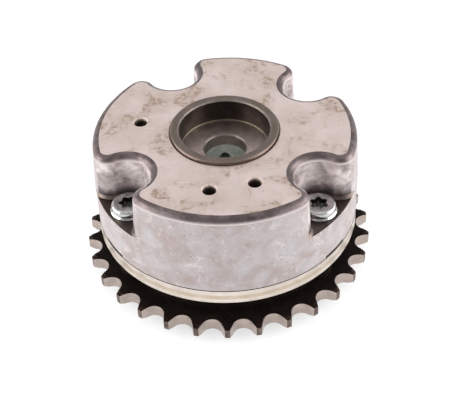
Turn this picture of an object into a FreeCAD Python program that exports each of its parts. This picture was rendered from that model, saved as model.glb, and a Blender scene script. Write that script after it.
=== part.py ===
import FreeCAD, Part
import math
import os

V = FreeCAD.Vector

# Camshaft gear of the vane type.  Millimetres, +Z toward the front face, origin on the
# camshaft axis at the rear hub's end face.  Azimuths are degrees about +Z from +X.

# Cutting tools run past a face by this much
OVER = 1.0

# Roller chain sprocket, tooth form of ISO 606
CHAIN_PITCH = 9.525
ROLLER_D = 6.35
TEETH = 30
SEAT_R = 0.505 * ROLLER_D
SEAT_HALF = 65.0 - 45.0 / TEETH
FLANK_R = 0.12 * ROLLER_D * (TEETH + 2)
TOOTH_W = 4.2
TIP_R = 46.5
TOOTH_AZ = 87.8
BEVEL_R = 1.5
BEVEL_Z = 0.45

# Heights, stacked from the rear hub's end face
HUB_H = 2.5
NECK_H = 6.6
BAND_H = 5.3
SHELF_H = 13.2
HOUSING_H = 28.1
CHAMBER_H = 21.4
Z_TEETH = HUB_H
Z_NECK = Z_TEETH + TOOTH_W
Z_BAND = Z_NECK + NECK_H
Z_PLATE = Z_BAND + BAND_H
Z_SHELF = Z_PLATE + SHELF_H
Z_CEIL = Z_PLATE + CHAMBER_H
Z_FACE = Z_PLATE + HOUSING_H

# Sprocket body
HUB_R = 23.5
HUB_CHAMFER = 0.6
CAM_BORE_R = 15.5
CAM_BORE_CHAMFER = 0.7
NECK_R = 37.7
BAND_R = 41.8
BAND_CHAMFER = 0.4
BOSS_R = 4.7
LIGHT_R0 = 26.0
LIGHT_R1 = 31.0
LIGHT_H = 6.4

# Housing
WALL_R = 41.7
CHAMBER_R = 38.0
FACE_FILLET = 2.5
CORNER_R = 5.3
POCKET_R = 7.0
FOOT_H = 0.8
FOOT_SWEEP = 95.0
FOOT_ROOT = 0.4
SHOE_AZ = (-149.0, -39.0, 39.0, 117.0)
SHOE_HALF = 16.9
NOTCH_HALF = 6.6
NOTCH_H = 0.6
NOTCH_D = 2.4
FRONT_CHAMFER = 0.5
FACE_HOLE_R = 2.1
FACE_HOLE_DEPTH = 4.6
FACE_HOLE_CHAMFER = 0.35
LOCATING_AT = ((26.8, 167.0), (26.4, -72.1))

# Housing bolts, M6 with a flanged six-lobe head
BOLT_PCD_R = 35.3
BOLT_R = 3.0
BOLT_HOLE_R = 3.3
BOLT_FLANGE_R = 5.6
BOLT_FLANGE_H = 0.9
BOLT_HEAD_R = 5.15
BOLT_HEAD_H = 3.0
BOLT_HEAD_CHAMFER = 0.5
BOLT_EDGE = 0.2
BOLT_POINT = 0.6
BOLT_GRIP = 9.0
TAP_DEPTH = 10.4
LOBE_R = 0.62
LOBE_AT = 2.17
LOBE_CORE_R = 2.2
LOBE_DEPTH = 2.1
BOLT_TURN = (0.0, 30.0, 12.0, 41.0)

# Vane rotor.  The widest vane is the one that meets the stops, and it holds the lock pin.
PLAY = 0.03
HUB_FIT = 0.3
VANE_FIT = 0.3
ROTOR_HUB_R = 23.4
ROTOR_BORE_R = 6.5
VANE_R = CHAMBER_R - VANE_FIT
SWING = 12.5
STOP_GAP = 0.3
VANE_GAP = 1.0
LOCK_SEAL_STEP = -13.0
PORT_STEP = 4.9
PORT_R = 1.8
PORT_IN = 4.0
PORT_OUT = ROTOR_HUB_R + OVER
PORT_DROP = 9.4
PORT_Z = Z_CEIL - PORT_DROP
BACK_PORT_R = 1.6
BACK_PORT_AT = 11.5
BACK_PORT_RISE = 5.6
BACK_PORT_Z = Z_PLATE + BACK_PORT_RISE
SEAT_PAD_GAP = 0.2
SEAT_PAD_H = 0.18
SEAT_PAD_R = CAM_BORE_R - SEAT_PAD_GAP
DOWEL_R = 2.5
DOWEL_AT = (11.5, -60.0)
DOWEL_DEPTH = 6.0

# Front bushing: a steel cup seated in the rotor, running in the housing's front bore
CUP_R = 16.8
CUP_BORE_R = 14.1
CUP_FLOOR_H = 4.0
CUP_SEAT = 4.2
CUP_PROUD = 1.0
CUP_RUN = 0.04
CUP_CHAMFER = 0.3
CUP_BORE_CHAMFER = 0.5
CUP_HOLE_CHAMFER = 0.4
Z_CUP = Z_CEIL - PLAY - CUP_SEAT
Z_CUP_TOP = Z_FACE + CUP_PROUD

# Seals and their leaf springs
SLOT_W = 2.0
SLOT_D = 2.5
SEAL_GAP = 0.05
SEAL_T = 1.8
SEAL_END = 0.2
LEAF_T = 0.25
LEAF_SIDE = 0.3
LEAF_L = 15.0
LEAF_GAP = 0.01

# Lock pin set
PIN_BORE_R = 5.0
PIN_WALL = 2.2
PIN_AT = (VANE_R - PIN_WALL - PIN_BORE_R, -88.2)
PIN_R = 3.5
PIN_RUN = 0.03
PIN_HEAD_RUN = 0.04
PIN_CHAMFER = 0.5
PIN_CLEAR = 0.12
PIN_GUIDE_H = 4.5
PIN_GUIDE_SUNK = 0.3
PIN_DROP = 3.8
PIN_HEAD_H = 7.3
PIN_HOLLOW_R = 3.0
PIN_HOLLOW_D = 6.0
CAP_H = 1.7
CAP_HOLE_R = 0.8
GROOVE_D = 1.0
GROOVE_W = 2.5
GROOVE_BACK = 2.5
GROOVE_END = 0.5
LOCK_RING_R = 5.6
LOCK_HOLE_R = 3.6
LOCK_RING_H = 4.5
LOCK_HOLE_DEEPER = 1.5
SPRING_WIRE = 0.8
SPRING_R = 2.3
SPRING_TURNS = 5
SPRING_FLATS = 6
Z_GUIDE_TOP = Z_PLATE + PLAY + PIN_GUIDE_SUNK + PIN_GUIDE_H
Z_PIN_TIP = Z_PLATE + PLAY + PIN_CLEAR
Z_PIN_HEAD = Z_GUIDE_TOP + PIN_DROP
Z_CAP_TOP = Z_CEIL - PLAY - GROOVE_D
Z_CAP = Z_CAP_TOP - CAP_H

# The pin stands over the lock ring, and its vent under the front hole, when fully retarded
LOCK_RING_AT = (PIN_AT[0], PIN_AT[1] - SWING)
VENT_AT = (PIN_AT[0] - GROOVE_BACK, PIN_AT[1] - SWING)

# Housing dowel
HOUSING_DOWEL_R = 1.5
HOUSING_DOWEL_STEP = -9.0
HOUSING_DOWEL_AT = (29.2, SHOE_AZ[0] + HOUSING_DOWEL_STEP)
HOUSING_DOWEL_L = 9.0
HOUSING_DOWEL_END = 0.5


def polar(r, az, z=0.0):
    a = math.radians(az)
    return V(r * math.cos(a), r * math.sin(a), z)


def disc(r, z0, z1, at=(0.0, 0.0)):
    return Part.makeCylinder(r, z1 - z0, polar(at[0], at[1], z0))


def ring(r1, r0, z0, z1, at=(0.0, 0.0)):
    return disc(r1, z0, z1, at).cut(disc(r0, z0, z1, at))


def arc(p0, p1, p2):
    return Part.Arc(p0, p1, p2).toShape()


def sector(r0, r1, az, half, z0, z1):
    """Solid between two radii, 2 * half degrees wide about the azimuth az."""
    a0, a1 = az - half, az + half
    edges = [
        arc(polar(r0, a0, z0), polar(r0, az, z0), polar(r0, a1, z0)),
        Part.makeLine(polar(r0, a1, z0), polar(r1, a1, z0)),
        arc(polar(r1, a1, z0), polar(r1, az, z0), polar(r1, a0, z0)),
        Part.makeLine(polar(r1, a0, z0), polar(r0, a0, z0)),
    ]
    return Part.Face(Part.Wire(edges)).extrude(V(0, 0, z1 - z0))


def block(r0, r1, az, width, z0, z1):
    """Box lying along the radius at the azimuth az."""
    box = Part.makeBox(r1 - r0, width, z1 - z0, V(r0, -width / 2, z0))
    box.rotate(V(0, 0, 0), V(0, 0, 1), az)
    return box


def revolved(points):
    """Solid of revolution about Z from (radius, height) points."""
    wire = Part.makePolygon([V(r, 0, z) for r, z in points + points[:1]])
    return Part.Face(wire).revolve(V(0, 0, 0), V(0, 0, 1), 360)


def flank_points():
    """One convex flank as (radius, degrees from the gap's middle): foot, middle and tip."""
    pitch_r = CHAIN_PITCH / (2 * math.sin(math.pi / TEETH))
    half = math.radians(SEAT_HALF)
    foot = (SEAT_R * math.sin(half), pitch_r - SEAT_R * math.cos(half))
    cx, cy = foot[0] + FLANK_R * math.sin(half), foot[1] - FLANK_R * math.cos(half)
    to_axis = math.atan2(-cy, -cx)
    reach = math.hypot(cx, cy)
    spread = math.acos((reach ** 2 + FLANK_R ** 2 - TIP_R ** 2) / (2 * reach * FLANK_R))
    start = math.pi / 2 + half
    end = to_axis - spread + 2 * math.pi
    points = []
    for a in (start, (start + end) / 2, end):
        x, y = cx + FLANK_R * math.cos(a), cy + FLANK_R * math.sin(a)
        points.append((math.hypot(x, y), math.degrees(math.atan2(x, y))))
    return pitch_r - SEAT_R, points


def tooth_outline(z):
    """Closed outline of the sprocket: roller seats, convex flanks, short tip lands."""
    root_r, (foot, middle, tip) = flank_points()
    step = 360.0 / TEETH
    edges = []
    for k in range(TEETH):
        gap = TOOTH_AZ + step * (k + 0.5)
        down = [polar(r, gap - a, z) for r, a in (tip, middle, foot)]
        up = [polar(r, gap + a, z) for r, a in (foot, middle, tip)]
        edges += [
            arc(*down),
            arc(down[2], polar(root_r, gap, z), up[0]),
            arc(*up),
            arc(up[2], polar(TIP_R, gap + step / 2, z), polar(TIP_R, gap + step - tip[1], z)),
        ]
    return Part.Wire(edges)


def make_sprocket():
    teeth = Part.Face(tooth_outline(Z_TEETH)).extrude(V(0, 0, TOOTH_W))
    bevel = revolved([
        (0, Z_TEETH), (TIP_R - BEVEL_R, Z_TEETH), (TIP_R, Z_TEETH + BEVEL_Z),
        (TIP_R, Z_NECK - BEVEL_Z), (TIP_R - BEVEL_R, Z_NECK), (0, Z_NECK),
    ])
    web_z = (Z_TEETH + Z_NECK) / 2
    body = revolved([
        (0, 0), (HUB_R - HUB_CHAMFER, 0), (HUB_R, HUB_CHAMFER), (HUB_R, web_z), (NECK_R, web_z),
        (NECK_R, Z_BAND), (BAND_R - BAND_CHAMFER, Z_BAND), (BAND_R, Z_BAND + BAND_CHAMFER),
        (BAND_R, Z_PLATE), (0, Z_PLATE),
    ])
    body = body.fuse(teeth.common(bevel))
    for az in SHOE_AZ:
        body = body.fuse(disc(BOSS_R, web_z, Z_PLATE - BAND_H / 2, (BOLT_PCD_R, az)))
    body = body.cut(disc(CAM_BORE_R, -OVER, Z_PLATE + OVER))
    body = body.cut(Part.makeCone(CAM_BORE_R + CAM_BORE_CHAMFER, CAM_BORE_R, CAM_BORE_CHAMFER))
    body = body.cut(ring(LIGHT_R1, LIGHT_R0, -OVER, Z_TEETH + LIGHT_H))
    for az in SHOE_AZ:
        body = body.cut(disc(BOLT_R, Z_PLATE - TAP_DEPTH, Z_PLATE + OVER, (BOLT_PCD_R, az)))
    body = body.cut(disc(HOUSING_DOWEL_R, Z_PLATE - HOUSING_DOWEL_L / 2, Z_PLATE + OVER, HOUSING_DOWEL_AT))
    lock_z = Z_PLATE - LOCK_RING_H
    body = body.cut(disc(LOCK_RING_R, lock_z, Z_PLATE + OVER, LOCK_RING_AT))
    body = body.cut(disc(LOCK_HOLE_R, lock_z - LOCK_HOLE_DEEPER, Z_PLATE, LOCK_RING_AT))
    return body.removeSplitter()


def corner_centre():
    """Centre of a lobe corner's round, in the frame of the scallop beside it."""
    centre = WALL_R - CORNER_R
    reach = POCKET_R + CORNER_R
    x = (centre ** 2 + BOLT_PCD_R ** 2 - reach ** 2) / (2 * BOLT_PCD_R)
    return x, math.sqrt(centre ** 2 - x * x)


def scallop_points(az, z):
    """Points of one scallop's wall line: outer wall, corner, pocket, corner, outer wall."""
    x, y = corner_centre()
    corner_az = math.degrees(math.atan2(y, x))
    share = POCKET_R / (POCKET_R + CORNER_R)
    tx, ty = BOLT_PCD_R + (x - BOLT_PCD_R) * share, y * share
    mid = (math.atan2(y, x) + math.atan2(ty - y, tx - x)) / 2
    mx, my = x + CORNER_R * math.cos(mid), y + CORNER_R * math.sin(mid)

    def put(px, py):
        return polar(math.hypot(px, py), az + math.degrees(math.atan2(py, px)), z)

    wall = [polar(WALL_R, az - corner_az, z), polar(WALL_R, az + corner_az, z)]
    return {
        "wall": wall,
        "corner_mid": [put(mx, -my), put(mx, my)],
        "tangent": [put(tx, -ty), put(tx, ty)],
        "bottom": put(BOLT_PCD_R - POCKET_R, 0),
    }


def lobed_outline(z):
    """Closed wall line of the four lobes and the scallops between them."""
    edges = []
    order = sorted(SHOE_AZ)
    for k, az in enumerate(order):
        here, after = scallop_points(az, z), scallop_points(order[(k + 1) % len(order)], z)
        edges += [
            arc(here["wall"][0], here["corner_mid"][0], here["tangent"][0]),
            arc(here["tangent"][0], here["bottom"], here["tangent"][1]),
            arc(here["tangent"][1], here["corner_mid"][1], here["wall"][1]),
        ]
        next_az = order[(k + 1) % len(order)] + (360 if k + 1 == len(order) else 0)
        middle = (az + next_az) / 2
        edges.append(arc(here["wall"][1], polar(WALL_R, middle, z), after["wall"][0]))
    return Part.Wire(edges)


def foot_ring(r_wall, inward, start, sweep, x, y):
    """Sloped foot of an upright wall, swept about the point (x, y)."""
    toe, root = r_wall + inward * FOOT_H, r_wall - inward * FOOT_ROOT
    top, low = Z_SHELF + FOOT_H, Z_SHELF - FOOT_ROOT
    corners = [V(root, 0, low), V(toe, 0, low), V(toe, 0, Z_SHELF), V(r_wall, 0, top), V(root, 0, top)]
    section = Part.Face(Part.makePolygon(corners + corners[:1]))
    solid = section.revolve(V(0, 0, 0), V(0, 0, 1), sweep)
    solid.rotate(V(0, 0, 0), V(0, 0, 1), start)
    solid.translate(V(x, y, 0))
    return solid


def scallop_foot(az):
    """Foot of one scallop: round the pocket, then round both lobe corners."""
    x, y = corner_centre()
    turn = math.degrees(math.atan2(y, x - BOLT_PCD_R))
    foot = foot_ring(POCKET_R, -1, turn, 360 - 2 * turn, BOLT_PCD_R, 0)
    foot = foot.fuse(foot_ring(CORNER_R, 1, turn - 180, FOOT_SWEEP, x, y))
    foot = foot.fuse(foot_ring(CORNER_R, 1, 180 - turn - FOOT_SWEEP, FOOT_SWEEP, x, -y))
    foot.rotate(V(0, 0, 0), V(0, 0, 1), az)
    return foot.common(disc(WALL_R, Z_PLATE, Z_FACE))


def level_edges(shape, z):
    """Edges that lie wholly at the height z."""
    return [e for e in shape.Edges
            if abs(e.BoundBox.ZMin - z) < 1e-4 and abs(e.BoundBox.ZMax - z) < 1e-4]


def shoe_radius():
    """Radius of the shoes' inner ends, clear of the rotor's hub."""
    return ROTOR_HUB_R + HUB_FIT


def make_chamber():
    """Tool for the hydraulic chamber: a disc less the four shoes."""
    chamber = disc(CHAMBER_R, Z_PLATE - OVER, Z_CEIL)
    for az in SHOE_AZ:
        chamber = chamber.cut(sector(shoe_radius(), CHAMBER_R + OVER, az, SHOE_HALF,
                                     Z_PLATE - 2 * OVER, Z_CEIL + OVER))
    return chamber


def make_front_bore():
    """Tool for the bore that the front bushing runs in, with its chamfer."""
    r, z = CUP_R + CUP_RUN, Z_FACE - FRONT_CHAMFER
    return revolved([(0, Z_CEIL - OVER), (r, Z_CEIL - OVER), (r, z), (r + FRONT_CHAMFER, Z_FACE),
                     (r + FRONT_CHAMFER, Z_FACE + OVER), (0, Z_FACE + OVER)])


def make_face_hole(at, z0):
    """Tool for a chamfered hole in the front face, open at the top."""
    rim = Z_FACE - FACE_HOLE_CHAMFER
    cone = Part.makeCone(FACE_HOLE_R, FACE_HOLE_R + FACE_HOLE_CHAMFER, FACE_HOLE_CHAMFER, polar(*at, rim))
    return disc(FACE_HOLE_R, z0, Z_FACE + OVER, at).fuse(cone)


def make_housing():
    lobes = Part.Face(lobed_outline(Z_SHELF)).extrude(V(0, 0, Z_FACE - Z_SHELF))
    lobes = lobes.makeFillet(FACE_FILLET, level_edges(lobes, Z_FACE))
    body = disc(WALL_R, Z_PLATE, Z_SHELF).fuse(lobes)
    for az in SHOE_AZ:
        body = body.fuse(scallop_foot(az))
    body = body.cut(make_chamber())
    body = body.cut(make_front_bore())
    for az in SHOE_AZ:
        body = body.cut(disc(BOLT_HOLE_R, Z_PLATE - OVER, Z_SHELF + OVER, (BOLT_PCD_R, az)))
        body = body.cut(sector(WALL_R - NOTCH_D, WALL_R + OVER, az, NOTCH_HALF,
                               Z_PLATE - OVER, Z_PLATE + NOTCH_H))
        body = body.cut(block(shoe_radius() - OVER, shoe_radius() + SLOT_D, az, SLOT_W,
                              Z_PLATE - OVER, Z_CEIL))
    body = body.cut(disc(HOUSING_DOWEL_R, Z_PLATE - OVER,
                         Z_PLATE + HOUSING_DOWEL_L / 2 + HOUSING_DOWEL_END, HOUSING_DOWEL_AT))
    body = body.cut(make_face_hole(VENT_AT, Z_CEIL - OVER))
    for at in LOCATING_AT:
        body = body.cut(make_face_hole(at, Z_FACE - FACE_HOLE_DEPTH))
    return body.removeSplitter()


def chambers():
    """Middle azimuth and half angle of each chamber between neighbouring shoes."""
    order = sorted(SHOE_AZ)
    spaces = []
    for here, after in zip(order, order[1:] + [order[0] + 360]):
        spaces.append(((here + after) / 2, (after - here) / 2 - SHOE_HALF))
    return spaces


def vanes():
    """Each vane as (middle azimuth, half angle, seal azimuth); the widest is the lock vane."""
    widest = max(half for _, half in chambers())
    rows = []
    for az, half in chambers():
        lock = half == widest
        gap = STOP_GAP if lock else VANE_GAP
        rows.append((az, half - SWING - gap, az + (LOCK_SEAL_STEP if lock else 0)))
    return rows


def make_rotor():
    z0, z1 = Z_PLATE + PLAY, Z_CEIL - PLAY
    body = disc(ROTOR_HUB_R, z0, z1)
    for az, half, _ in vanes():
        body = body.fuse(sector(CUP_R + OVER, VANE_R, az, half, z0, z1))
    body = body.fuse(disc(SEAT_PAD_R, z0 - SEAT_PAD_H, z0 + OVER))
    body = body.removeSplitter()
    body = body.cut(disc(ROTOR_BORE_R, z0 - OVER, z1 + OVER))
    body = body.cut(disc(CUP_R, Z_CUP, z1 + OVER))
    for az, half, seal_az in vanes():
        ahead, behind = az + half + PORT_STEP, az - half - PORT_STEP
        body = body.cut(block(VANE_R - SLOT_D, VANE_R + OVER, seal_az, SLOT_W, z0 - OVER, z1 + OVER))
        body = body.cut(Part.makeCylinder(PORT_R, PORT_OUT - PORT_IN,
                                          polar(PORT_IN, ahead, PORT_Z), polar(1, ahead)))
        body = body.cut(disc(BACK_PORT_R, z0 - OVER, BACK_PORT_Z, (BACK_PORT_AT, behind)))
        body = body.cut(Part.makeCylinder(BACK_PORT_R, PORT_OUT - BACK_PORT_AT,
                                          polar(BACK_PORT_AT, behind, BACK_PORT_Z), polar(1, behind)))
    body = body.cut(disc(DOWEL_R, z0 - OVER, z0 + DOWEL_DEPTH, DOWEL_AT))
    body = body.cut(disc(PIN_BORE_R, z0 - OVER, z1 + OVER, PIN_AT))
    body = body.cut(sector(VENT_AT[0] - GROOVE_W / 2, VENT_AT[0] + GROOVE_W / 2,
                           VENT_AT[1], SWING + GROOVE_END, z1 - GROOVE_D, z1 + OVER))
    return body.removeSplitter()


def make_bushing():
    floor = Z_CUP + CUP_FLOOR_H
    return revolved([
        (ROTOR_BORE_R, Z_CUP), (CUP_R - CUP_CHAMFER, Z_CUP), (CUP_R, Z_CUP + CUP_CHAMFER),
        (CUP_R, Z_CUP_TOP - CUP_CHAMFER), (CUP_R - CUP_CHAMFER, Z_CUP_TOP),
        (CUP_BORE_R + CUP_BORE_CHAMFER, Z_CUP_TOP), (CUP_BORE_R, Z_CUP_TOP - CUP_BORE_CHAMFER),
        (CUP_BORE_R, floor), (ROTOR_BORE_R + CUP_HOLE_CHAMFER, floor),
        (ROTOR_BORE_R, floor - CUP_HOLE_CHAMFER),
    ])


def make_bolt(az, turn):
    """Flanged bolt with a six-lobe recess turned by the angle turn."""
    end = Z_PLATE - BOLT_GRIP
    top = Z_SHELF + BOLT_HEAD_H
    bolt = revolved([
        (0, end), (BOLT_R - BOLT_POINT, end), (BOLT_R, end + BOLT_POINT), (BOLT_R, Z_SHELF),
        (BOLT_FLANGE_R, Z_SHELF), (BOLT_FLANGE_R, Z_SHELF + BOLT_FLANGE_H - BOLT_EDGE),
        (BOLT_HEAD_R, Z_SHELF + BOLT_FLANGE_H), (BOLT_HEAD_R, top - BOLT_HEAD_CHAMFER),
        (BOLT_HEAD_R - BOLT_HEAD_CHAMFER, top), (0, top),
    ])
    recess = disc(LOBE_CORE_R, top - LOBE_DEPTH, top + OVER)
    for k in range(6):
        recess = recess.fuse(disc(LOBE_R, top - LOBE_DEPTH, top + OVER, (LOBE_AT, turn + 60 * k)))
    bolt = bolt.cut(recess)
    bolt.translate(polar(BOLT_PCD_R, az))
    return bolt


def make_seal(r_out, r_in, az):
    """Apex seal strip filling its slot's width, with its long edges curved to the two radii."""
    strip = block(r_in - OVER, r_out + OVER, az, SLOT_W, Z_PLATE + PLAY + SEAL_END, Z_CEIL - PLAY - SEAL_END)
    return strip.common(ring(r_out, r_in, Z_PLATE, Z_CEIL))


def make_leaf(r_foot, r_crown, az):
    """Bowed leaf: its ends stand on r_foot, its crown bears on the seal at r_crown."""
    sign = 1 if r_crown > r_foot else -1
    mid = (Z_PLATE + Z_CEIL) / 2
    z0, z1 = mid - LEAF_L / 2, mid + LEAF_L / 2
    w = SLOT_W / 2 - LEAF_SIDE
    lower = [V(r_foot, -w, z0), V(r_crown - sign * LEAF_T, -w, mid), V(r_foot, -w, z1)]
    upper = [V(r_foot + sign * LEAF_T, -w, z0), V(r_crown, -w, mid), V(r_foot + sign * LEAF_T, -w, z1)]
    wire = Part.Wire([
        arc(*lower), Part.makeLine(lower[2], upper[2]),
        arc(upper[2], upper[1], upper[0]), Part.makeLine(upper[0], lower[0]),
    ])
    leaf = Part.Face(wire).extrude(V(0, 2 * w, 0))
    leaf.rotate(V(0, 0, 0), V(0, 0, 1), az)
    return leaf


def make_lock_pin():
    top = Z_PIN_HEAD + PIN_HEAD_H
    head_r = PIN_BORE_R - PIN_HEAD_RUN
    pin = revolved([
        (0, Z_PIN_TIP), (PIN_R - PIN_CHAMFER, Z_PIN_TIP), (PIN_R, Z_PIN_TIP + PIN_CHAMFER),
        (PIN_R, Z_PIN_HEAD), (head_r, Z_PIN_HEAD), (head_r, top), (PIN_HOLLOW_R, top),
        (PIN_HOLLOW_R, top - PIN_HOLLOW_D), (0, top - PIN_HOLLOW_D),
    ])
    pin.translate(polar(*PIN_AT))
    return pin


def make_pin_spring():
    """Coil between the pin's hollow and the cap, its wire drawn with flats."""
    z0, z1 = Z_PIN_HEAD + PIN_HEAD_H - PIN_HOLLOW_D, Z_CAP
    wire_r = SPRING_WIRE / 2
    rise = z1 - z0 - SPRING_WIRE
    helix = Part.makeHelix(rise / SPRING_TURNS, rise, SPRING_R)
    section = []
    for k in range(SPRING_FLATS):
        a = math.radians(360.0 * (k + 0.5) / SPRING_FLATS)
        section.append(V(SPRING_R + wire_r * math.sin(a), 0, wire_r * math.cos(a)))
    coil = Part.Wire(helix.Edges).makePipeShell([Part.makePolygon(section + section[:1])], True, True)
    coil.translate(polar(*PIN_AT, z0 + wire_r))
    return coil


def make_lock_parts():
    z0 = Z_GUIDE_TOP - PIN_GUIDE_H
    return {
        "lock_pin": make_lock_pin(),
        "lock_pin_spring": make_pin_spring(),
        "lock_pin_guide": ring(PIN_BORE_R, PIN_R + PIN_RUN, z0, Z_GUIDE_TOP, PIN_AT),
        "lock_pin_cap": ring(PIN_BORE_R, CAP_HOLE_R, Z_CAP, Z_CAP_TOP, PIN_AT),
        "lock_ring": ring(LOCK_RING_R, LOCK_HOLE_R, Z_PLATE - LOCK_RING_H, Z_PLATE, LOCK_RING_AT),
    }


def make_seals():
    parts = {}
    wall = CHAMBER_R - SEAL_GAP
    tip = ROTOR_HUB_R + SEAL_GAP
    for k, az in enumerate(SHOE_AZ, 1):
        parts["shoe_seal_%d" % k] = make_seal(tip + SEAL_T, tip, az)
        parts["shoe_leaf_%d" % k] = make_leaf(shoe_radius() + SLOT_D, tip + SEAL_T + LEAF_GAP, az)
    for k, (_, _, az) in enumerate(vanes(), 1):
        parts["vane_seal_%d" % k] = make_seal(wall, wall - SEAL_T, az)
        parts["vane_leaf_%d" % k] = make_leaf(VANE_R - SLOT_D, wall - SEAL_T - LEAF_GAP, az)
    return parts


def make_parts():
    parts = {
        "sprocket": make_sprocket(),
        "housing": make_housing(),
        "vane_rotor": make_rotor(),
        "front_bushing": make_bushing(),
        "housing_dowel": disc(HOUSING_DOWEL_R, Z_PLATE - HOUSING_DOWEL_L / 2,
                              Z_PLATE + HOUSING_DOWEL_L / 2, HOUSING_DOWEL_AT),
    }
    for k, (az, turn) in enumerate(zip(SHOE_AZ, BOLT_TURN), 1):
        parts["housing_bolt_%d" % k] = make_bolt(az, turn)
    parts.update(make_lock_parts())
    parts.update(make_seals())
    return parts


os.makedirs("parts", exist_ok=True)
for name, shape in make_parts().items():
    solid = shape.Solids[0] if len(shape.Solids) == 1 else shape
    solid.exportStep("parts/%s.step" % name)
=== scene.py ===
"""Looks of a camshaft gear: machined and cast aluminium housing, black chain sprocket, steel cup."""

import logging
import math
from dataclasses import dataclass
from enum import Enum
from typing import Any, Callable, ClassVar, Dict, List, Sequence, Tuple

import bpy
from mathutils import Matrix, Vector

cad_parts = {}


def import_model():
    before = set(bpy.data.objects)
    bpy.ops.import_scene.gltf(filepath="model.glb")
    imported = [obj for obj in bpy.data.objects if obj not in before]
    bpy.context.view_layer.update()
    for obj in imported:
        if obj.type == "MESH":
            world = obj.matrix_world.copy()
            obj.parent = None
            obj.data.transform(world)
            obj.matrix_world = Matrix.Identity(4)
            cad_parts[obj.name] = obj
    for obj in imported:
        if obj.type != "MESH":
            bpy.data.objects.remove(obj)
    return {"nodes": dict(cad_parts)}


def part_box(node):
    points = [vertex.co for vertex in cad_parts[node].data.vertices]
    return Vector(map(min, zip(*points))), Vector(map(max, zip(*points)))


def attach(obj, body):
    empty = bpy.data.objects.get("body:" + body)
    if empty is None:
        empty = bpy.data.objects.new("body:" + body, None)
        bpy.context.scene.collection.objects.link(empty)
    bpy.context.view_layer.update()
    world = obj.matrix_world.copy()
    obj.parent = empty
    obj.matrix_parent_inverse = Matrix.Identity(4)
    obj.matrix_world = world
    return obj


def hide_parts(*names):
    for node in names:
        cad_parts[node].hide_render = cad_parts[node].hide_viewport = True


LOG = logging.getLogger("camshaft_gear")
Colour = Tuple[float, float, float]
Plan = Tuple[float, float]
Shape = bpy.types.Object
Materials = Dict[str, bpy.types.Material]

MM = 0.001  # metres in a millimetre
WELD = 1e-6  # metres within which vertices are one
OVER = 1.0  # millimetres that a tool reaches past the solid
NEAR = 0.01  # millimetres of play in tests of place
LEVEL = 0.9  # least upward part of a level face's normal
FLAT = 0.9999  # the same for a face that is shaded flat
STEEP = 0.8  # greatest upward part of a steep face's normal
LEANING = 0.2  # least part of a normal that leans a given way
TURN = 360.0
RIM_STEPS = 240  # edges round the sprocket
BORE_STEPS = 160  # edges round a large bore
TOOL_STEPS = 48  # edges round a small tool
AXIS: Plan = (0.0, 0.0)
SCALLOPS = (-149.0, -39.0, 39.0, 117.0)
BOLT_RING = 35.3
PIN_AZIMUTH = -100.7
DOWEL_AT: Plan = (29.2, -158.0)
DOWEL_RADIUS = 1.5


class Marks(Enum):
    """How a cutting tool's marks run over a surface."""

    NONE = "none"
    RINGS = "rings"
    BANDS = "bands"


class Side(Enum):
    """Which way a bench tool joins two solids."""

    CUT = "DIFFERENCE"
    ADD = "UNION"
    KEEP = "INTERSECT"


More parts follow.
